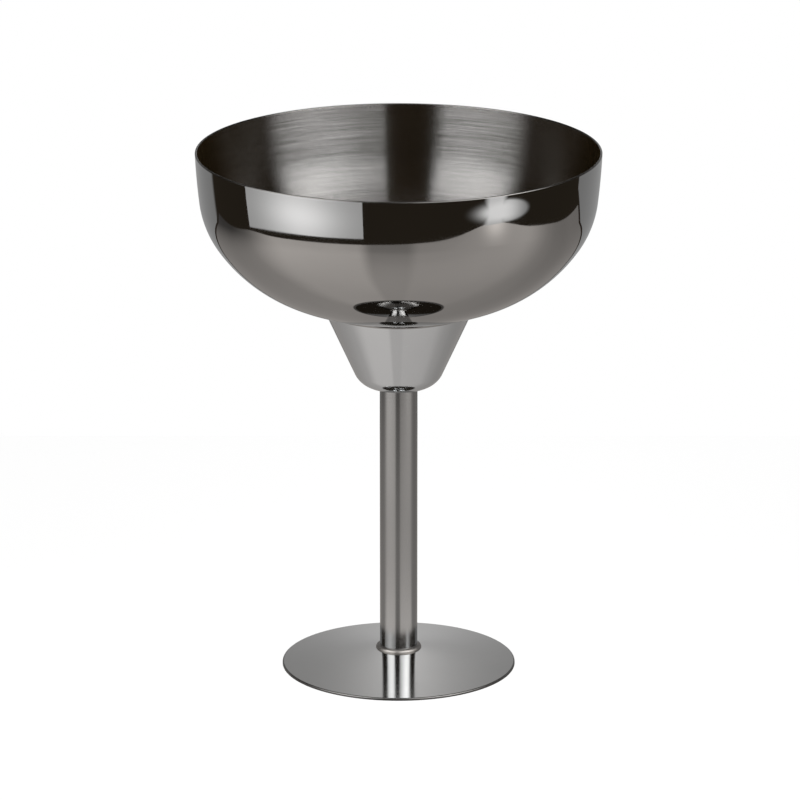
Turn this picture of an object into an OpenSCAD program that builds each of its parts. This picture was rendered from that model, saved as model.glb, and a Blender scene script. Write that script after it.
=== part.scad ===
// Margarita cup of dark polished sheet steel: a spun bowl on a drawn lower cup,
// carried by a tube stem that stands on a pressed disc foot.
// Millimetres, +Z up, origin at the centre of the ring that the foot stands on.
// A lean is the angle between a wall and the upright.

/* [Bowl] */
// Outer diameter of the bowl at its rim
rim_d = 118; // [100:1:136]
// Thickness of the bowl's sheet
bowl_sheet = 0.6; // [0.4:0.1:1.4]
// Outer radius of the long curve down the wall
wall_r = 200; // [120:5:300]
// Outer radius of the shoulder below the wall
shoulder_r = 28; // [20:1:38]
// Outer radius of the floor below the shoulder
floor_r = 45; // [36:1:60]
// Lean of the wall at the rim, in degrees
rim_lean = 2.5; // [0:0.5:5]
// Lean where the wall turns into the shoulder, in degrees
wall_lean = 6.6; // [5.6:0.2:12]
// Lean where the shoulder turns into the floor, in degrees
shoulder_lean = 34.5; // [20:0.5:50]

/* [Lower cup] */
// Outer diameter where the lines of the lower cup's wall and the bowl's floor cross
seam_d = 44.6; // [36:0.2:56]
// Depth from that crossing to the flat base of the lower cup
cup_depth = 24.6; // [18:0.2:36]
// Thickness of the lower cup's sheet
cup_sheet = 0.6; // [0.4:0.1:1.4]
// Outer radius of the flare that turns the lower cup's mouth out under the bowl
flare_r = 2.5; // [2:0.5:8]
// Width of the weld between the flare and the bowl
seam_weld_w = 1.2; // [0.6:0.1:2.4]
// Outer radius of the corner round the base
cup_corner_r = 7; // [2:0.5:9]
// Flat left round the stem under the base
cup_base_margin = 1; // [0.2:0.2:4]

/* [Stem] */
// Outer diameter of the tube
stem_d = 11.1; // [8:0.1:16]
// Wall of the tube
stem_wall = 0.8; // [0.5:0.1:2]
// Length of the tube
stem_len = 80.8; // [50:0.2:120]
// Length of the plug in the top of the tube
plug_len = 8; // [3:0.5:20]
// Lead-in chamfer on the plug
plug_chamfer = 0.5; // [0.2:0.1:1]
// Gap all round between the plug and the tube
plug_clearance = 0.03; // [0.01:0.01:0.1]

/* [Foot] */
// Diameter of the foot
foot_d = 69; // [56:1:90]
// Height of the land that the stem stands on
foot_h = 4.8; // [3:0.1:10]
// Thickness of the foot's sheet
foot_sheet = 0.8; // [0.5:0.1:1.4]
// Width of the flat ring under the edge that the foot stands on
foot_rest_w = 0.8; // [0.4:0.1:2]
// Radius of the rounding on the upper edge
foot_edge_r = 0.15; // [0.05:0.05:0.3]
// Width of the weld bead on the foot
weld_w = 1.2; // [0.6:0.1:2.5]
// Height of the weld bead up the stem
weld_h = 1.1; // [0.6:0.1:3]

/* [Hidden] */
// Sides of a revolved piece
$fn = 120;
// Most that a curve drawn in short straight stretches may lie off the true curve
arc_sag = 0.004;

// Outlines are drawn as [radius, height]. A point of a wall lies at the wall's lean below level,
// seen from the centre of its curve.
function polar(angle) = [cos(angle), sin(angle)];
function arc(centre, radius, from, to) =
    let (steps = ceil(abs(to - from) / acos(1 - arc_sag / radius) / 2))
    [for (i = [0:steps]) centre + radius * polar(from + (to - from) * i / steps)];
function after_first(points) = [for (i = [1:len(points) - 1]) points[i]];
function turn_along(length, radius) = length / radius * 180 / PI;

// Lean of the line from a point that touches a corner's curve from outside
function touching_lean(centre, radius, point) =
    let (reach = point - centre)
    acos(radius / norm(reach)) - atan2(reach[1], reach[0]);

stem_r = stem_d / 2;
seam_r = seam_d / 2;
rim_r = rim_d / 2;
foot_r = foot_d / 2;

// Heights build up from the foot: land, stem, lower cup, bowl
cup_base_z = foot_h + stem_len;
seam = [seam_r, cup_base_z + cup_depth];

// Curves of the bowl, each one tangent to the next, first measured from the rim's outer edge
wall_reach = [rim_r, 0] - wall_r * polar(-rim_lean);
shoulder_reach = wall_reach + (wall_r - shoulder_r) * polar(-wall_lean);
floor_reach = shoulder_reach + (shoulder_r - floor_r) * polar(-shoulder_lean);
seam_lean = acos((seam_r - floor_reach[0]) / floor_r);
bowl_rise = floor_r * sin(seam_lean) - floor_reach[1];
rim = [0, seam[1] + bowl_rise];
wall_c = rim + wall_reach;
shoulder_c = rim + shoulder_reach;
floor_c = rim + floor_reach;
lip_r = bowl_sheet / 2;
lip_c = rim + [rim_r, 0] - lip_r * polar(-rim_lean);

// Wall of the lower cup, tangent to the corner round its base
cup_base_r = stem_r + cup_base_margin;
cup_corner_c = [cup_base_r, cup_base_z + cup_corner_r];
cup_lean = touching_lean(cup_corner_c, cup_corner_r, seam);

// Flare of the lower cup's mouth, tangent to its wall and to the bowl's floor
wall_to_floor_c = (seam - floor_c) * polar(-cup_lean);
flare_lean = cup_lean + acos((wall_to_floor_c + flare_r) / (floor_r + flare_r));
flare_c = floor_c + (floor_r + flare_r) * polar(-flare_lean);

// The bowl's hole is wider than the flare by the weld
hole_lean = flare_lean - turn_along(seam_weld_w, floor_r);

// Cone of the foot, with its upper face through the land's rim and its lower face through the ring
land_r = stem_r + weld_w;
foot_run = [foot_r - foot_rest_w - land_r, foot_h];
foot_slope = atan2(foot_run[1], foot_run[0]) - asin(foot_sheet / norm(foot_run));
land_under_r = land_r - foot_sheet * tan(foot_slope / 2);
foot_edge_x = foot_r - foot_edge_r;
foot_edge_c = [
    foot_edge_x,
    foot_h - (foot_edge_x - land_r) * tan(foot_slope) - foot_edge_r / cos(foot_slope)
];

// Outer and inner curves of the bowl's sheet, between the lip and the hole
module upper_bowl_outline()
    polygon(concat(
        after_first(arc(lip_c, lip_r, 180 - rim_lean, -rim_lean)),
        after_first(arc(wall_c, wall_r, -rim_lean, -wall_lean)),
        after_first(arc(shoulder_c, shoulder_r, -wall_lean, -shoulder_lean)),
        after_first(arc(floor_c, floor_r, -shoulder_lean, -hole_lean)),
        arc(floor_c, floor_r - bowl_sheet, -hole_lean, -shoulder_lean),
        after_first(arc(shoulder_c, shoulder_r - bowl_sheet, -shoulder_lean, -wall_lean)),
        after_first(arc(wall_c, wall_r - bowl_sheet, -wall_lean, -rim_lean))
    ));

module upper_bowl()
    color("#5b5853")
    rotate_extrude()
    upper_bowl_outline();

module lower_cup()
    color("#8a8883")
    rotate_extrude()
    polygon(concat(
        [[0, cup_base_z]],
        arc(cup_corner_c, cup_corner_r, -90, -cup_lean),
        arc(flare_c, flare_r, 180 - cup_lean, 180 - flare_lean),
        arc(flare_c, flare_r + cup_sheet, 180 - flare_lean, 180 - cup_lean),
        arc(cup_corner_c, cup_corner_r - cup_sheet, -cup_lean, -90),
        [[0, cup_base_z + cup_sheet]]
    ));

// Butt weld dressed flush with the sheet on both faces
module seam_weld()
    color("#77746f")
    rotate_extrude()
    polygon(concat(
        arc(floor_c, floor_r, -hole_lean, -flare_lean),
        [
            floor_c + (floor_r - cup_sheet) * polar(-flare_lean),
            floor_c + (floor_r - bowl_sheet) * polar(-hole_lean)
        ]
    ));

module stem_tube()
    color("#7d7a75")
    translate([0, 0, foot_h])
    linear_extrude(stem_len)
    difference() {
        circle(stem_r);
        circle(stem_r - stem_wall);
    }

// Flush with the tube's top end, so that the lower cup's base seats on both
module stem_plug() {
    plug_r = stem_r - stem_wall - plug_clearance;
    color("#6a6864")
    translate([0, 0, cup_base_z - plug_len])
    rotate_extrude()
    polygon([
        [0, 0],
        [plug_r - plug_chamfer, 0],
        [plug_r, plug_chamfer],
        [plug_r, plug_len],
        [0, plug_len]
    ]);
}

module foot_plate()
    color("#8d8a85")
    rotate_extrude()
    polygon(concat(
        [[0, foot_h], [land_r, foot_h]],
        arc(foot_edge_c, foot_edge_r, 90 - foot_slope, 0),
        [
            [foot_r, 0],
            [foot_r - foot_rest_w, 0],
            [land_under_r, foot_h - foot_sheet],
            [0, foot_h - foot_sheet]
        ]
    ));

// Rounded bead in the corner between the stem and the foot's land
module foot_weld() {
    bead = [for (point = arc([0, 0], weld_w, 0, 90)) [point[0], point[1] * weld_h / weld_w]];
    color("#5f5c57")
    rotate_extrude()
    translate([stem_r, foot_h])
    polygon(concat([[0, 0]], bead));
}

upper_bowl();
lower_cup();
seam_weld();
stem_tube();
stem_plug();
foot_plate();
foot_weld();
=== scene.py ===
import math

import bpy
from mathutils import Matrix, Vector


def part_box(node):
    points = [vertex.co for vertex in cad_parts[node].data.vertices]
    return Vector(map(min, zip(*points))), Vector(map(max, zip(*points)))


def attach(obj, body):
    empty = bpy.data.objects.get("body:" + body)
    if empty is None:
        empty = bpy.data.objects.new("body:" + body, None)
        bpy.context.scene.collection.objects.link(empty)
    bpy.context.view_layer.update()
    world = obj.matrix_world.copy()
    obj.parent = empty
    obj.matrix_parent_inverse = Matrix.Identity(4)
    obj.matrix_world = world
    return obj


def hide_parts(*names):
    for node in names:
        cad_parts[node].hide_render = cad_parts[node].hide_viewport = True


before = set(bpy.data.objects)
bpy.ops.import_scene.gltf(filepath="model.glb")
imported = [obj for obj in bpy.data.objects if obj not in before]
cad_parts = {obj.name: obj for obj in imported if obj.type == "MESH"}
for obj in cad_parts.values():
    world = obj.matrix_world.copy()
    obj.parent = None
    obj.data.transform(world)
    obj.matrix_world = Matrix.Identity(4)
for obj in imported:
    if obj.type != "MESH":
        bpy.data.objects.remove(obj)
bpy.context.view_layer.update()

# Margarita cup of dark polished sheet steel. Lengths are in metres. Heights and radii come from the
# frame's own boxes, and what a box doesn't tell, such as the radius of a curve, is named here.
MM = 0.001

# Bowl: sheet and curves of its outer outline. A lean is the angle between a wall and the upright.
BOWL_SHEET = 0.6 * MM
WALL_RADIUS = 200 * MM
SHOULDER_RADIUS = 28 * MM
FLOOR_RADIUS = 45 * MM
RIM_LEAN = math.radians(2.5)
WALL_LEAN = math.radians(6.6)
SHOULDER_LEAN = math.radians(34.5)

# Lower cup. The seam is where the lines of its wall and of the bowl's floor cross.
SEAM_R = 22.3 * MM
CUP_DEPTH = 24.6 * MM
CUP_SHEET = 0.6 * MM
CUP_CORNER_RADIUS = 7 * MM
CUP_BASE_MARGIN = 1 * MM
FLARE_RADIUS = 2.5 * MM
SEAM_WELD_W = 1.2 * MM

# Stem and foot
STEM_WALL = 0.8 * MM
FOOT_SHEET = 0.8 * MM
FOOT_REST_W = 0.8 * MM
FOOT_EDGE_RADIUS = 0.45 * MM

# Fineness of the meshes: sides of a turned piece, how far a curve may lie off the true one, the longest
# straight step, the digits that tell two points apart, and how near the axis a point counts as on it
SEGMENTS = 240
SAG = 0.001 * MM
FLAT_STEP = 4 * MM
PLACE_DIGITS = 8
ON_AXIS = 0.0001 * MM


def outer_radius(node):
    """Outer radius of a round CAD node."""
    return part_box(node)[1].x


def span(node):
    """Lowest and highest point of a CAD node."""
    low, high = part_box(node)
    return low.z, high.z


RIM_R = outer_radius("upper_bowl")
STEM_R = outer_radius("stem_tube")
FOOT_R = outer_radius("foot_plate")
BEAD_R = outer_radius("foot_weld")
CUP_BASE_Z = span("lower_cup")[0]
FOOT_LOW = span("foot_plate")[0]
FOOT_H, STEM_TOP = span("stem_tube")
BEAD_LOW, BEAD_TOP = span("foot_weld")


# Outlines are drawn as (radius, height) with the metal on the left of the way along them. A stretch is a
# list of (point, normal), so that a mirror finish gets the true normals of its curves.

def polar(angle, length=1.0):
    return Vector((math.cos(angle), math.sin(angle))) * length


def arc(centre, radius, start, end):
    """A round stretch from one angle to another."""
    steps = max(2, math.ceil(abs(end - start) / math.acos(1 - SAG / radius) / 2))
    side = 1 if end > start else -1
    angles = [start + (end - start) * i / steps for i in range(steps + 1)]
    return [(centre + polar(a, radius), polar(a, side)) for a in angles]


def oval(centre, width, height, start, end):
    """A stretch of an upright oval, turned to the left, from a circle of one millimetre."""
    round_one = arc(Vector((0, 0)), MM, start, end)
    points = [(point / MM, normal) for point, normal in round_one]
    return [
        (centre + Vector((p.x * width, p.y * height)), Vector((n.x * height, n.y * width)).normalized())
        for p, n in points
    ]


def line(start, end):
    """A straight stretch between two points."""
    along = (end - start).normalized()
    normal = Vector((along.y, -along.x))
    steps = max(1, math.ceil((end - start).length / FLAT_STEP))
    return [(start.lerp(end, i / steps), normal) for i in range(steps + 1)]


def lines(*points):
    """Straight stretches through several points."""
    return [line(a, b) for a, b in zip(points, points[1:])]


def turned_over(stretches):
    """The same stretches walked the other way, with the metal on the other side."""
    return [[(point, -normal) for point, normal in stretch[::-1]] for stretch in stretches[::-1]]


# Curves of the bowl, tangent to each other, measured from the rim's outer edge and then set on the seam
wall_reach = Vector((RIM_R, 0)) - polar(-RIM_LEAN, WALL_RADIUS)
shoulder_reach = wall_reach + polar(-WALL_LEAN, WALL_RADIUS - SHOULDER_RADIUS)
floor_reach = shoulder_reach + polar(-SHOULDER_LEAN, SHOULDER_RADIUS - FLOOR_RADIUS)
seam = Vector((SEAM_R, CUP_BASE_Z + CUP_DEPTH))
SEAM_LEAN = math.acos((SEAM_R - floor_reach.x) / FLOOR_RADIUS)
rim = Vector((0, seam.y + FLOOR_RADIUS * math.sin(SEAM_LEAN) - floor_reach.y))
wall_c = rim + wall_reach
shoulder_c = rim + shoulder_reach
floor_c = rim + floor_reach
lip_c = rim + Vector((RIM_R, 0)) - polar(-RIM_LEAN, BOWL_SHEET / 2)

# Wall of the lower cup, tangent to the corner round its base
cup_base_r = STEM_R + CUP_BASE_MARGIN
cup_corner_c = Vector((cup_base_r, CUP_BASE_Z + CUP_CORNER_RADIUS))
cup_reach = seam - cup_corner_c
CUP_LEAN = math.acos(CUP_CORNER_RADIUS / cup_reach.length) - math.atan2(cup_reach.y, cup_reach.x)

# Flare of the lower cup's mouth, tangent to its wall and to the bowl's floor, and the hole that it meets
wall_to_floor_c = (seam - floor_c).dot(polar(-CUP_LEAN))
FLARE_LEAN = CUP_LEAN + math.acos((wall_to_floor_c + FLARE_RADIUS) / (FLOOR_RADIUS + FLARE_RADIUS))
flare_c = floor_c + polar(-FLARE_LEAN, FLOOR_RADIUS + FLARE_RADIUS)
HOLE_LEAN = FLARE_LEAN - SEAM_WELD_W / FLOOR_RADIUS

# Cone of the foot, between the land's rim and the ring that it stands on
foot_run = Vector((FOOT_R - FOOT_REST_W - BEAD_R, FOOT_H - FOOT_LOW))
FOOT_SLOPE = math.atan2(foot_run.y, foot_run.x) - math.asin(FOOT_SHEET / foot_run.length)
land_under_r = BEAD_R - FOOT_SHEET * math.tan(FOOT_SLOPE / 2)
foot_edge_x = FOOT_R - FOOT_EDGE_RADIUS
foot_fall = (foot_edge_x - BEAD_R) * math.tan(FOOT_SLOPE)
foot_edge_z = FOOT_H - foot_fall - FOOT_EDGE_RADIUS / math.cos(FOOT_SLOPE)
foot_edge_c = Vector((foot_edge_x, foot_edge_z))


def bowl_face(inward):
    """The bowl's outer face, or the face that lies inward from it, from the hole up."""
    return [
        arc(floor_c, FLOOR_RADIUS - inward, -HOLE_LEAN, -SHOULDER_LEAN),
        arc(shoulder_c, SHOULDER_RADIUS - inward, -SHOULDER_LEAN, -WALL_LEAN),
        arc(wall_c, WALL_RADIUS - inward, -WALL_LEAN, -RIM_LEAN),
    ]


def cup_wall(inward):
    """The lower cup's outer face below its flare, or the face inward from it, from the axis up."""
    level = CUP_BASE_Z + inward
    corner_radius = CUP_CORNER_RADIUS - inward
    top = flare_c - polar(-CUP_LEAN, FLARE_RADIUS + inward)
    return [
        line(Vector((0, level)), Vector((cup_base_r, level))),
        arc(cup_corner_c, corner_radius, -math.pi / 2, -CUP_LEAN),
        line(cup_corner_c + polar(-CUP_LEAN, corner_radius), top),
    ]


def cup_flare(inward):
    """The flare on the same face of the lower cup."""
    return [arc(flare_c, FLARE_RADIUS + inward, math.pi - CUP_LEAN, math.pi - FLARE_LEAN)]


class Outline:
    """Stretches of a closed outline, each with its material."""

    def __init__(self):
        self.stretches = []

    def add(self, stretches, material):
        self.stretches += [(stretch, material) for stretch in stretches]

    def close(self, material):
        """A straight stretch from the last point back to the first."""
        first_point, _ = self.stretches[0][0][0]
        last_point, _ = self.stretches[-1][0][-1]
        self.add([line(last_point, first_point)], material)

    def steps(self):
        """Each short step along the outline: its two ends, as (point, normal), and its material."""
        for stretch, material in self.stretches:
            for start, end in zip(stretch, stretch[1:]):
                yield start, end, material


def lathe(name, outline, node):
    """A closed outline turned round the axis, with true normals and a UV map, in place of a CAD node."""
    turns = [math.tau * i / SEGMENTS for i in range(SEGMENTS)]
    materials = list(dict.fromkeys(material for _, material in outline.stretches))
    length = sum((end[0] - start[0]).length for start, end, _ in outline.steps())
    vertices, faces, normals, uvs, finishes = [], [], [], [], []
    rings = {}

    def ring(point):
        """Numbers of the vertices round the axis at a point of the outline, which are made once."""
        key = (round(point.x, PLACE_DIGITS), round(point.y, PLACE_DIGITS))
        if key not in rings:
            first = len(vertices)
            if point.x < ON_AXIS:
                vertices.append((0, 0, point.y))
                rings[key] = [first] * SEGMENTS
            else:
                for turn in turns:
                    vertices.append((point.x * math.cos(turn), point.x * math.sin(turn), point.y))
                rings[key] = list(range(first, first + SEGMENTS))
        return rings[key]

    way = 0.0
    for (start, start_normal), (end, end_normal), material in outline.steps():
        low, high = ring(start), ring(end)
        way_on = way + (end - start).length
        for i in range(SEGMENTS):
            j = (i + 1) % SEGMENTS
            corners = [
                (low[i], i, way, start_normal),
                (low[j], i + 1, way, start_normal),
                (high[j], i + 1, way_on, end_normal),
                (high[i], i, way_on, end_normal),
            ]
            if low[i] == low[j]:
                corners.pop(1)
            if high[i] == high[j]:
                corners.pop(-1)
            faces.append([corner[0] for corner in corners])
            finishes.append(materials.index(material))
            for _, column, height, normal in corners:
                angle = math.tau * column / SEGMENTS
                normals.append((normal.x * math.cos(angle), normal.x * math.sin(angle), normal.y))
                uvs += [column / SEGMENTS, height / length]
        way = way_on

    mesh = bpy.data.meshes.new(name)
    mesh.from_pydata(vertices, [], faces)
    for material in materials:
        mesh.materials.append(material)
    mesh.polygons.foreach_set("material_index", finishes)
    mesh.polygons.foreach_set("use_smooth", [True] * len(faces))
    mesh.uv_layers.new(name="OFBake").data.foreach_set("uv", uvs)
    mesh.normals_split_custom_set(normals)
    mesh.validate()
    piece = bpy.data.objects.new(name, mesh)
    bpy.context.scene.collection.objects.link(piece)
    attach(piece, "root")
    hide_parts(node)


# Nodes

def add(tree, kind, inputs=None, **settings):
    """A node with its settings, and its inputs set or linked by name or number."""
    made = tree.nodes.new(kind)
    for name, value in settings.items():
        setattr(made, name, value)
    for key, value in (inputs or {}).items():
        if isinstance(value, bpy.types.NodeSocket):
            tree.links.new(value, made.inputs[key])
        else:
            made.inputs[key].default_value = value
    return made


def math_node(tree, operation, first, second=0.0):
    return add(tree, "ShaderNodeMath", {0: first, 1: second}, operation=operation).outputs[0]


def vector_node(tree, operation, inputs, output=0):
    return add(tree, "ShaderNodeVectorMath", inputs, operation=operation).outputs[output]


def times(tree, first, *others):
    for other in others:
        first = math_node(tree, "MULTIPLY", first, other)
    return first


def plus(tree, first, *others):
    for other in others:
        first = math_node(tree, "ADD", first, other)
    return first


def mix(tree, factor, first, second):
    """The first value where the factor is 0, and the second where it is 1."""
    return add(tree, "ShaderNodeMix", {"Factor": factor, "A": first, "B": second}).outputs["Result"]


def map_range(tree, value, source, target, kind="LINEAR"):
    """A value carried from one range to another, and held at its ends."""
    inputs = {
        "Value": value,
        "From Min": source[0],
        "From Max": source[1],
        "To Min": target[0],
        "To Max": target[1],
    }
    return add(tree, "ShaderNodeMapRange", inputs, interpolation_type=kind).outputs["Result"]


def edge(tree, value, start, end, low=0.0, high=1.0):
    """A soft step from low at start to high at end."""
    if start < end:
        return map_range(tree, value, (start, end), (low, high), "SMOOTHSTEP")
    return map_range(tree, value, (end, start), (high, low), "SMOOTHSTEP")


def bell(tree, value, at, width):
    """1 at a place, falling off on both sides."""
    away = math_node(tree, "DIVIDE", math_node(tree, "SUBTRACT", value, at), width)
    return math_node(tree, "EXPONENT", times(tree, away, away, -1.0))


def hump(tree, value, at, width, rise, base):
    """A base that swells by the rise at a place."""
    return plus(tree, times(tree, bell(tree, value, at, width), rise), base)


def curve(tree, value, source, stops):
    """A smooth curve through a few (place, height) stops in a range."""
    ramp = add(tree, "ShaderNodeValToRGB", {"Fac": map_range(tree, value, source, (0.0, 1.0))})
    ramp.color_ramp.interpolation = "CARDINAL"
    elements = ramp.color_ramp.elements
    while len(elements) < len(stops):
        elements.new(0.5)
    for element, (place, height) in zip(elements, stops):
        element.position = (place - source[0]) / (source[1] - source[0])
        element.color = (height, height, height, 1)
    return ramp.outputs["Color"]


def new_tree(name):
    """A new material and its empty node tree."""
    material = bpy.data.materials.new(name)
    material.use_nodes = True
    material.node_tree.nodes.clear()
    return material, material.node_tree


# Materials

# Noise: its middle, the range that it mostly keeps to, and the detail of each kind of grain
NOISE_MIDDLE = 0.5
NOISE_RANGE = (0.3, 0.7)
GRAIN_DETAIL = 3.0
GROOVE_DETAIL = 2.0
CLOUD_DETAIL = 4.0
CLOUDS_PER_METRE = 60.0

# Grain as (per turn, per metre): the faint grain of a polished face, and the fine grooves of brushing
FAINT_GRAIN = (3.0, 900.0)
GROOVES = (2.5, 70000.0)

# Gloss is drawn out along the outline, a quarter turn from the grain
GLOSS_TURN = 0.25
SHEEN_ROUGHNESS = 1.0
SHEEN_TINT = (0.95, 0.65, 0.32)
WHITE = (1.0, 1.0, 1.0)


def round_the_axis(tree, per_turn, per_metre):
    """Coordinates that change slowly round the axis and quickly along the outline, for spun grain."""
    place = add(tree, "ShaderNodeTexCoord").outputs["Object"]
    level = vector_node(tree, "MULTIPLY", {0: place, 1: (1, 1, 0)})
    reach = vector_node(tree, "LENGTH", {0: level}, "Value")
    outward = vector_node(tree, "NORMALIZE", {0: level})
    turn = vector_node(tree, "SCALE", {0: outward, "Scale": per_turn})
    height = add(tree, "ShaderNodeSeparateXYZ", {0: place}).outputs["Z"]
    fine = times(tree, plus(tree, reach, height), per_metre)
    stacked = add(tree, "ShaderNodeCombineXYZ", {"Z": fine}).outputs[0]
    return vector_node(tree, "ADD", {0: turn, 1: stacked})


def noise(tree, vector, detail, scale=1.0):
    inputs = {"Vector": vector, "Scale": scale, "Detail": detail}
    return add(tree, "ShaderNodeTexNoise", inputs).outputs["Fac"]


def slanted(tree, slant, spread):
    """The normal, tipped up and down the outline by fine grain, as the grooves of brushing tip it."""
    normal = add(tree, "ShaderNodeNewGeometry").outputs["Normal"]
    place = add(tree, "ShaderNodeTexCoord").outputs["Object"]
    around = vector_node(tree, "CROSS_PRODUCT", {0: (0, 0, 1), 1: place})
    ahead = vector_node(tree, "NORMALIZE", {0: around})
    along = vector_node(tree, "CROSS_PRODUCT", {0: normal, 1: ahead})
    tip = times(tree, plus(tree, slant, -NOISE_MIDDLE), spread)
    lean = vector_node(tree, "SCALE", {0: along, "Scale": tip})
    tipped = vector_node(tree, "ADD", {0: normal, 1: lean})
    return vector_node(tree, "NORMALIZE", {0: tipped})


def steel(name, colour, roughness, grain, cloud=0.02, depth=0.0, anisotropy=0.0, spread=0.0,
          grazing=WHITE, sheen=0.0):
    """Gunmetal-coated steel with spun grain. roughness is a range, and grain is (per turn, per metre).

    cloud is how far the colour varies, depth is that of the grain, spread is how far the grooves of
    brushing tip the normal, grazing is a tint at flat angles, and sheen is the weight of a brown haze.
    """
    material, tree = new_tree(name)
    lines_round = noise(tree, round_the_axis(tree, *grain), GRAIN_DETAIL)
    place = add(tree, "ShaderNodeTexCoord").outputs["Object"]
    clouds = map_range(tree, noise(tree, place, CLOUD_DETAIL, CLOUDS_PER_METRE), NOISE_RANGE, (0.0, 1.0))
    shade = add(tree, "ShaderNodeMix", {"Factor": clouds}, data_type="RGBA")
    shade.inputs["A"].default_value = (*[c * (1 - cloud) for c in colour], 1)
    shade.inputs["B"].default_value = (*[c * (1 + cloud) for c in colour], 1)
    bump = add(tree, "ShaderNodeBump", {"Height": lines_round, "Strength": 1.0, "Distance": depth})
    if spread:
        fine = noise(tree, round_the_axis(tree, *GROOVES), GROOVE_DETAIL)
        tree.links.new(slanted(tree, fine, spread), bump.inputs["Normal"])
    surface = add(tree, "ShaderNodeBsdfPrincipled", {
        "Base Color": shade.outputs["Result"],
        "Metallic": 1.0,
        "Roughness": map_range(tree, lines_round, NOISE_RANGE, roughness),
        "Specular Tint": (*grazing, 1),
        "Sheen Weight": sheen,
        "Sheen Roughness": SHEEN_ROUGHNESS,
        "Sheen Tint": (*SHEEN_TINT, 1),
        "Anisotropic": anisotropy,
        "Anisotropic Rotation": GLOSS_TURN,
        "Tangent": add(tree, "ShaderNodeTangent", direction_type="RADIAL", axis="Z").outputs[0],
        "Normal": bump.outputs[0],
    })
    add(tree, "ShaderNodeOutputMaterial", {"Surface": surface.outputs[0]})
    return material


mirror = steel("bowl_mirror", (0.302, 0.300, 0.297), (0.02, 0.04), FAINT_GRAIN)
brushed = steel(
    "bowl_brushed", (0.110, 0.1083, 0.1058), (0.21, 0.23), (3.0, 2400.0), cloud=0.03, depth=0.0002 * MM,
    anisotropy=1.0, spread=1.8, grazing=(0.20, 0.14, 0.09), sheen=0.0135,
)
lip = steel("bowl_lip", (0.100, 0.097, 0.093), (0.20, 0.28), FAINT_GRAIN, cloud=0.03)
satin = steel("cup_satin", (0.510, 0.532, 0.550), (0.08, 0.11), (2.0, 2600.0), anisotropy=0.5)
tube = steel("stem_satin", (0.252, 0.256, 0.258), (0.14, 0.17), (2.0, 1800.0))
plate = steel("foot_mirror", (0.488, 0.483, 0.476), (0.09, 0.11), FAINT_GRAIN)
cut = steel("foot_cut_edge", (0.110, 0.107, 0.104), (0.30, 0.38), FAINT_GRAIN, cloud=0.03)
bead = steel("weld_bead", (0.190, 0.180, 0.170), (0.38, 0.50), (9.0, 500.0), cloud=0.08, depth=0.03 * MM)
turned = steel(
    "plug_turned", (0.45, 0.44, 0.43), (0.25, 0.35), (2.0, 3000.0), cloud=0.03, depth=0.004 * MM,
    anisotropy=0.6,
)


# Pieces

bowl = Outline()
bowl.add(bowl_face(0), mirror)
bowl.add([arc(lip_c, BOWL_SHEET / 2, -RIM_LEAN, math.pi - RIM_LEAN)], lip)
bowl.add(turned_over(bowl_face(BOWL_SHEET)), brushed)
bowl.close(mirror)
lathe("bowl", bowl, "upper_bowl")

flare_out = flare_c - polar(-FLARE_LEAN, FLARE_RADIUS)
flare_in = flare_c - polar(-FLARE_LEAN, FLARE_RADIUS + CUP_SHEET)
cup = Outline()
cup.add(cup_wall(0), satin)
cup.add(cup_flare(0), mirror)
cup.add([line(flare_out, flare_in)], satin)
cup.add(turned_over(cup_wall(CUP_SHEET) + cup_flare(CUP_SHEET)), brushed)
lathe("lower_cup_shell", cup, "lower_cup")

hole_out = floor_c + polar(-HOLE_LEAN, FLOOR_RADIUS)
hole_in = floor_c + polar(-HOLE_LEAN, FLOOR_RADIUS - BOWL_SHEET)
seam_ring = Outline()
seam_ring.add([arc(floor_c, FLOOR_RADIUS, -FLARE_LEAN, -HOLE_LEAN)], mirror)
seam_ring.add([line(hole_out, hole_in)], mirror)
seam_ring.add([arc(floor_c, FLOOR_RADIUS - BOWL_SHEET, -HOLE_LEAN, -FLARE_LEAN)], brushed)
seam_ring.close(mirror)
lathe("seam_ring", seam_ring, "seam_weld")

stem_in = STEM_R - STEM_WALL
stem = Outline()
stem.add(lines(
    Vector((STEM_R, FOOT_H)), Vector((STEM_R, STEM_TOP)),
    Vector((stem_in, STEM_TOP)), Vector((stem_in, FOOT_H)),
), tube)
stem.close(tube)
lathe("stem", stem, "stem_tube")

foot = Outline()
foot.add(lines(
    Vector((0, FOOT_H - FOOT_SHEET)), Vector((land_under_r, FOOT_H - FOOT_SHEET)),
    Vector((FOOT_R - FOOT_REST_W, FOOT_LOW)), Vector((FOOT_R, FOOT_LOW)),
), plate)
foot.add([line(Vector((FOOT_R, FOOT_LOW)), Vector((FOOT_R, foot_edge_z)))], cut)
foot.add([arc(foot_edge_c, FOOT_EDGE_RADIUS, 0, math.pi / 2 - FOOT_SLOPE)], cut)
foot.add(lines(
    foot_edge_c + polar(math.pi / 2 - FOOT_SLOPE, FOOT_EDGE_RADIUS),
    Vector((BEAD_R, FOOT_H)), Vector((0, FOOT_H)),
), plate)
lathe("foot", foot, "foot_plate")

bead_corner = Vector((STEM_R, BEAD_LOW))
weld = Outline()
weld.add([line(bead_corner, Vector((BEAD_R, BEAD_LOW)))], bead)
weld.add([oval(bead_corner, BEAD_R - STEM_R, BEAD_TOP - BEAD_LOW, 0, math.pi / 2)], bead)
weld.close(bead)
lathe("foot_bead", weld, "foot_weld")

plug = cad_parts["stem_plug"]
plug.data.materials.clear()
plug.data.materials.append(turned)


# Studio

# A pale table with a round front edge and a low backdrop, two tall soft lights and a lens of light round
# the edge, dark cards all round and above, and a soft card overhead. Azimuth 0 is towards the camera and
# 90 to its right, in degrees round the middle of the table.

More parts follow.
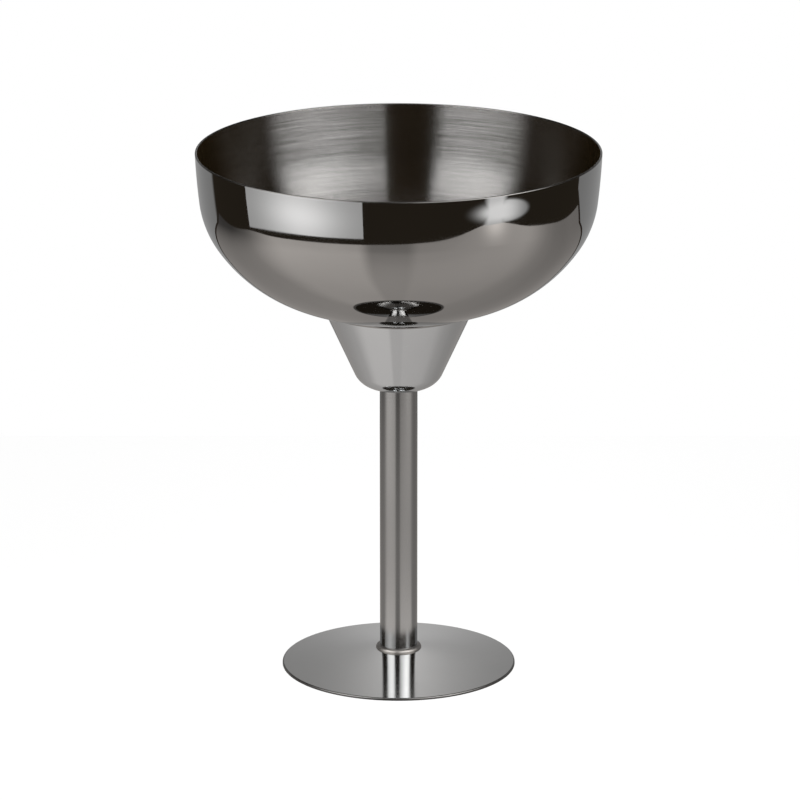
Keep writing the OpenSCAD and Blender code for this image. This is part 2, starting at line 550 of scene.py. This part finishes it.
# Camera
CAMERA_ELEVATION = math.radians(16.6213)
CAMERA_DISTANCE = 1.64342
AIM_HEIGHT = 81.25 * MM
AIM_SIDE = 0.40 * MM
FOCAL_LENGTH_MM = 252.11
SENSOR_MM = 36.0
CLIP_END = 20.0

# Table: its outline, its white to the camera, and its tint in the metal
TABLE_MIDDLE = Vector((0.0125, 0.044))
TABLE_RADIUS = 0.385
TABLE_BACK = 0.230
TABLE_STEPS = 96
TABLE_WHITE = 0.94
TABLE_MATTE = (0.055, 0.055, 0.055)
TABLE_WARMTH = (1.06, 0.995, 0.945)
# Where the table is fuller: azimuth, width in degrees and depth
BULGES = ((46.5, 17, 0.038), (-86, 12, 0.008))
# Painted light: how bright the table looks in the metal, from its front to its back: (y, brightness)
TABLE_SHADES = (
    (-0.34, 0.36), (-0.28, 0.47), (-0.20, 0.56), (-0.13, 0.63), (-0.06, 0.62),
    (0.0, 0.51), (0.04, 0.42), (0.09, 0.37), (0.16, 0.36), (0.23, 0.33),
)

# Lights: the azimuths and heights of their cards, and how bright they are
RING_RADIUS = 0.402
RING_STEPS = 32
LEFT_AZIMUTHS = (-84.5, -18.5)
RIGHT_AZIMUTHS = (6, 86)
LENS_AZIMUTHS = (22, 84)
LENS_LOW = 0.0065
LENS_TOP = 0.092
LIGHT_TOP = 0.50
LIGHT = 5.8
TOP_LIGHT = 12.9
RIGHT_LOW_LIGHT = 1.9
# Heights over which a light's field comes in, and over which it reaches its full strength
FIELD_RISE = (0.098, 0.15)
FIELD_FULL = (0.26, 0.40)
# Oval of the lens of light: azimuth and height of its middle, how far it reaches from there, and how
# it leans, in degrees per metre, about a height
LENS_AZIMUTH = 51.5
LENS_HEIGHT = 0.0225
LENS_WIDTH = 15.5
LENS_RISE = 0.0145
LENS_SLANT = 170.0
LENS_PIVOT = 0.022

# Backdrop
BACKDROP_Y = 0.245
BACKDROP_ENDS = (-0.37, 0.45)
BACKDROP_TOP = 0.24
BACKDROP_RADIANCE = 0.42

# Dark cards, and the sides of a round card
DARK = (0.043, 0.034, 0.024)
ROOM_RADIUS = 0.9
ROOM_LOW = -0.5
ROOM_TOP = 1.5
CARD_SIDES = 24

# Card overhead, which is set back from the axis
OVERHEAD_RADIUS = 0.3
OVERHEAD_BACK = 0.38
OVERHEAD_HEIGHT = 1.2
OVERHEAD_RADIANCE = 1.5


def stage_mesh(name, vertices, faces, material, camera=False):
    """A mesh of the studio, which the camera sees only if told so."""
    mesh = bpy.data.meshes.new(name)
    mesh.from_pydata(vertices, [], faces)
    mesh.materials.append(material)
    thing = bpy.data.objects.new(name, mesh)
    bpy.context.scene.collection.objects.link(thing)
    thing.visible_camera = camera
    return thing


def card(name, columns, heights, place_of, material):
    """An upright card. place_of gives the point at a column and height, which its UV map holds."""
    low, high = heights
    vertices, faces, uvs = [], [], []
    for column in columns:
        vertices += [place_of(column, low), place_of(column, high)]
    for i, (start, end) in enumerate(zip(columns, columns[1:])):
        faces.append((2 * i, 2 * i + 2, 2 * i + 3, 2 * i + 1))
        uvs += [start, low, end, low, end, high, start, high]
    thing = stage_mesh(name, vertices, faces, material)
    thing.data.uv_layers.new(name="card").data.foreach_set("uv", uvs)


def round_table(azimuth, radius, height):
    """A point at an azimuth round the middle of the table."""
    turn = math.radians(azimuth)
    return TABLE_MIDDLE.x + radius * math.sin(turn), TABLE_MIDDLE.y - radius * math.cos(turn), height


def on_ring(azimuth, height):
    return round_table(azimuth, RING_RADIUS, height)


def on_backdrop(x, height):
    return x, BACKDROP_Y, height


def ring_card(name, azimuths, heights, material):
    """A card that bends round the table, with azimuths as its columns."""
    first, last = azimuths
    columns = [first + (last - first) * i / RING_STEPS for i in range(RING_STEPS + 1)]
    card(name, columns, heights, on_ring, material)


def glow(name, strength_of):
    """A card's material. strength_of builds its strength, and a mask or None, from column and height."""
    material, tree = new_tree(name)
    place = add(tree, "ShaderNodeTexCoord").outputs["UV"]
    column, height = add(tree, "ShaderNodeSeparateXYZ", {0: place}).outputs[:2]
    strength, mask = strength_of(tree, column, height)
    surface = add(tree, "ShaderNodeEmission", {"Strength": strength})
    if mask is not None:
        clear = add(tree, "ShaderNodeBsdfTransparent")
        surface = add(tree, "ShaderNodeMixShader", {0: mask, 1: clear.outputs[0], 2: surface.outputs[0]})
    add(tree, "ShaderNodeOutputMaterial", {"Surface": surface.outputs[0]})
    return material


def plain_glow(name, colour, strength):
    """The material of a card that is the same all over."""
    material, tree = new_tree(name)
    surface = add(tree, "ShaderNodeEmission", {"Color": (*colour, 1), "Strength": strength})
    add(tree, "ShaderNodeOutputMaterial", {"Surface": surface.outputs[0]})
    return material


def left_light(tree, azimuth, height):
    """A soft hot spot low down, and a brighter, narrower field above, whose inner edge leans."""
    glint = hump(tree, height, at=0.025, width=0.02, rise=0.6, base=0.9)
    low = plus(tree, times(tree, bell(tree, azimuth, at=-50.0, width=20.0), glint), 0.85)
    field = hump(tree, azimuth, at=-46.0, width=22.0, rise=0.38, base=0.62)
    leaning = plus(tree, azimuth, map_range(tree, height, (0.12, 0.40), (6.0, 0.5)))
    outer_edge = edge(tree, azimuth, -84.0, -70.0)
    inner_edge = edge(tree, leaning, -21.0, -24.0)
    level = edge(tree, height, *FIELD_FULL, LIGHT, TOP_LIGHT)
    high = times(tree, field, outer_edge, inner_edge, level)
    return mix(tree, edge(tree, height, *FIELD_RISE), low, high), None


def right_light(tree, azimuth, height):
    """The field above the right-hand lens, fading outwards."""
    field = hump(tree, azimuth, at=48.0, width=28.0, rise=0.63, base=0.42)
    lower = edge(tree, height, *FIELD_RISE, RIGHT_LOW_LIGHT, LIGHT)
    upper = edge(tree, height, *FIELD_FULL, 0.0, TOP_LIGHT - LIGHT)
    mask = times(tree, edge(tree, azimuth, RIGHT_AZIMUTHS[1], 71.0), edge(tree, height, LENS_TOP, 0.102))
    return times(tree, field, plus(tree, lower, upper)), mask


def right_lens(tree, azimuth, height):
    """A soft oval on a stalk that runs from the table up to the field."""
    across = plus(tree, azimuth, times(tree, plus(tree, height, -LENS_PIVOT), LENS_SLANT))
    beside = bell(tree, across, LENS_AZIMUTH, LENS_WIDTH)
    shape = times(tree, beside, bell(tree, height, LENS_HEIGHT, LENS_RISE))
    soft = edge(tree, shape, 0.12, 0.85)
    crisp = edge(tree, shape, 0.25, 0.42)
    lens = mix(tree, edge(tree, azimuth, 44.0, 56.0), soft, crisp)
    stalk = times(tree, edge(tree, azimuth, 39.5, 44.0), edge(tree, azimuth, 54.5, 50.5))
    level = plus(tree, times(tree, soft, 0.45), 1.55)
    right_end = edge(tree, azimuth, 51.0, 70.0, 1.0, 0.3)
    low_end = edge(tree, height, 0.004, 0.016, 0.75, 1.0)
    return times(tree, level, right_end, low_end), math_node(tree, "MAXIMUM", lens, stalk)


def backdrop(tree, x, height):
    """Brighter in its middle, behind the object, and fading out at its left end."""
    spot = hump(tree, height, at=0.14, width=0.062, rise=0.62, base=0.24)
    middle = times(tree, bell(tree, x, at=0.003, width=0.038), spot)
    dip = times(tree, bell(tree, x, at=0.0, width=0.13), -0.08)
    return plus(tree, middle, dip, BACKDROP_RADIANCE), edge(tree, x, BACKDROP_ENDS[0], -0.33)


def table_light(tree):
    """Painted light and shade of the table in the metal: brighter in front, with a pool in front of each
    light.
    """
    place = add(tree, "ShaderNodeTexCoord").outputs["Object"]
    x, y = add(tree, "ShaderNodeSeparateXYZ", {0: place}).outputs[:2]
    reach = vector_node(tree, "LENGTH", {0: place}, "Value")
    turn = math_node(tree, "DEGREES", math_node(tree, "ARCTAN2", x, times(tree, y, -1.0)))
    base = curve(tree, y, (TABLE_SHADES[0][0], TABLE_SHADES[-1][0]), TABLE_SHADES)
    left_field = times(tree, edge(tree, turn, -98.0, -68.0), edge(tree, turn, -14.0, -23.0))
    left_pool = times(tree, left_field, map_range(tree, reach, (0.05, 0.26), (0.11, 0.41)))
    right_field = times(tree, edge(tree, turn, 4.0, 12.0), edge(tree, turn, 92.0, 72.0))
    right_pool = times(tree, right_field, map_range(tree, reach, (0.05, 0.34), (0.04, 0.19)))
    # Painted sheen of the lights on the table at flat angles, stronger near the object, with painted shade
    # where the gap between the lights falls.
    facing = add(tree, "ShaderNodeLayerWeight", {"Blend": 0.5}).outputs["Facing"]
    near = hump(tree, reach, at=0.03, width=0.06, rise=0.6, base=0.15)
    painted_gap_shade = times(tree, bell(tree, turn, at=-5.0, width=20.0), -0.22)
    pools_near = times(tree, plus(tree, left_field, right_field), near)
    sheen = times(tree, edge(tree, facing, 0.54, 0.70), plus(tree, pools_near, painted_gap_shade))
    # Painted light: a brighter patch at the table's left back.
    painted_left_back_light = times(tree, edge(tree, x, 0.03, -0.05), bell(tree, y, at=0.04, width=0.09), 0.07)
    # Painted light: a spill of the right-hand lens on the table before it.
    lens_spill_across = bell(tree, x, at=0.325, width=0.045)
    painted_lens_spill = times(tree, lens_spill_across, bell(tree, y, at=-0.237, width=0.045), 0.85)
    # Painted shade: the table darkens towards its left end, more so towards its back.
    left_shade_depth = map_range(tree, y, (-0.10, 0.12), (0.15, 0.8))
    painted_left_shade = times(tree, edge(tree, x, -0.18, -0.40), left_shade_depth, -1.0)
    # Painted shadow: the table darkens in a ring round the foot.
    painted_foot_shadow = edge(tree, reach, 0.0358, 0.0375, 0.2, 1.0)
    light = plus(tree, base, left_pool, right_pool, painted_left_back_light, painted_lens_spill, sheen)
    return times(tree, light, plus(tree, painted_left_shade, 1.0), painted_foot_shadow)


def table_material():
    """White to the camera, with the object's shadow. The metal sees how the lights fall on it."""
    material, tree = new_tree("pale_table")
    in_metal = add(tree, "ShaderNodeEmission", {"Color": (*TABLE_WARMTH, 1), "Strength": table_light(tree)})
    white = add(tree, "ShaderNodeEmission", {"Strength": TABLE_WHITE})
    matte = add(tree, "ShaderNodeBsdfDiffuse", {"Color": (*TABLE_MATTE, 1)})
    seen = add(tree, "ShaderNodeAddShader", {0: white.outputs[0], 1: matte.outputs[0]})
    rays = add(tree, "ShaderNodeLightPath").outputs
    choice = add(tree, "ShaderNodeMixShader", {
        0: rays["Is Camera Ray"], 1: in_metal.outputs[0], 2: seen.outputs[0],
    })
    add(tree, "ShaderNodeOutputMaterial", {"Surface": choice.outputs[0]})
    return material


def table_outline():
    """Round in front, a little fuller before the right-hand lens and on the left, with straight sides."""
    points = []
    for i in range(TABLE_STEPS + 1):
        azimuth = -90 + 180 * i / TABLE_STEPS
        fuller = sum(depth * math.exp(-((azimuth - at) / width) ** 2) for at, width, depth in BULGES)
        points.append(round_table(azimuth, TABLE_RADIUS + fuller, 0))
    points.append((TABLE_MIDDLE.x + TABLE_RADIUS, TABLE_BACK, 0))
    points.append((TABLE_MIDDLE.x - TABLE_RADIUS, TABLE_BACK, 0))
    return points


def circle(radius, y, height):
    """Corners of a level disc, set back from the axis by y."""
    corners = [polar(math.tau * i / CARD_SIDES, radius) for i in range(CARD_SIDES)]
    return [(corner.x, corner.y + y, height) for corner in corners]


def dark_room():
    """Dark cards all round and above, so that the metal shows a dark room between the lights."""
    nexts = [(i + 1) % CARD_SIDES for i in range(CARD_SIDES)]
    faces = [(i, j, j + CARD_SIDES, i + CARD_SIDES) for i, j in enumerate(nexts)]
    faces += [tuple(range(CARD_SIDES)), tuple(range(CARD_SIDES, 2 * CARD_SIDES))]
    vertices = circle(ROOM_RADIUS, 0, ROOM_LOW) + circle(ROOM_RADIUS, 0, ROOM_TOP)
    stage_mesh("dark_cards", vertices, faces, plain_glow("dark_cards", DARK, 1.0))


def overhead():
    """A soft card high overhead and behind, for looks down into the bowl."""
    disc = circle(OVERHEAD_RADIUS, OVERHEAD_BACK, OVERHEAD_HEIGHT)
    material = plain_glow("overhead_white", WHITE, OVERHEAD_RADIANCE)
    stage_mesh("overhead_card", disc, [tuple(range(CARD_SIDES))], material)


table = table_outline()
stage_mesh("table", table, [tuple(range(len(table)))], table_material(), camera=True)
card("backdrop", BACKDROP_ENDS, (0.0, BACKDROP_TOP), on_backdrop, glow("backdrop_white", backdrop))
ring_card("left_light", LEFT_AZIMUTHS, (0.0, LIGHT_TOP), glow("left_glow", left_light))
ring_card("right_light", RIGHT_AZIMUTHS, (LENS_TOP, LIGHT_TOP), glow("right_glow", right_light))
ring_card("right_lens", LENS_AZIMUTHS, (LENS_LOW, LENS_TOP), glow("right_lens_glow", right_lens))
dark_room()
overhead()

# The camera sees a white background, and whatever else looks past the cards sees the dark of the room
world = bpy.data.worlds.new("studio")
bpy.context.scene.world = world
world.use_nodes = True
sky = world.node_tree
sky.nodes.clear()
white_sky = add(sky, "ShaderNodeBackground", {"Color": (*WHITE, 1), "Strength": 1.0})
dark_sky = add(sky, "ShaderNodeBackground", {"Color": (*DARK, 1), "Strength": 1.0})
sky_rays = add(sky, "ShaderNodeLightPath").outputs
sky_choice = add(sky, "ShaderNodeMixShader", {
    0: sky_rays["Is Camera Ray"], 1: dark_sky.outputs[0], 2: white_sky.outputs[0],
})
add(sky, "ShaderNodeOutputWorld", {"Surface": sky_choice.outputs[0]})

camera_data = bpy.data.cameras.new("camera")
camera_data.sensor_width = SENSOR_MM
camera_data.lens = FOCAL_LENGTH_MM
camera_data.clip_end = CLIP_END
camera = bpy.data.objects.new("camera", camera_data)
bpy.context.scene.collection.objects.link(camera)
camera.location = (
    AIM_SIDE,
    -CAMERA_DISTANCE * math.cos(CAMERA_ELEVATION),
    AIM_HEIGHT + CAMERA_DISTANCE * math.sin(CAMERA_ELEVATION),
)
camera.rotation_euler = (math.pi / 2 - CAMERA_ELEVATION, 0, 0)
bpy.context.scene.camera = camera
bpy.context.scene.view_settings.view_transform = "Standard"
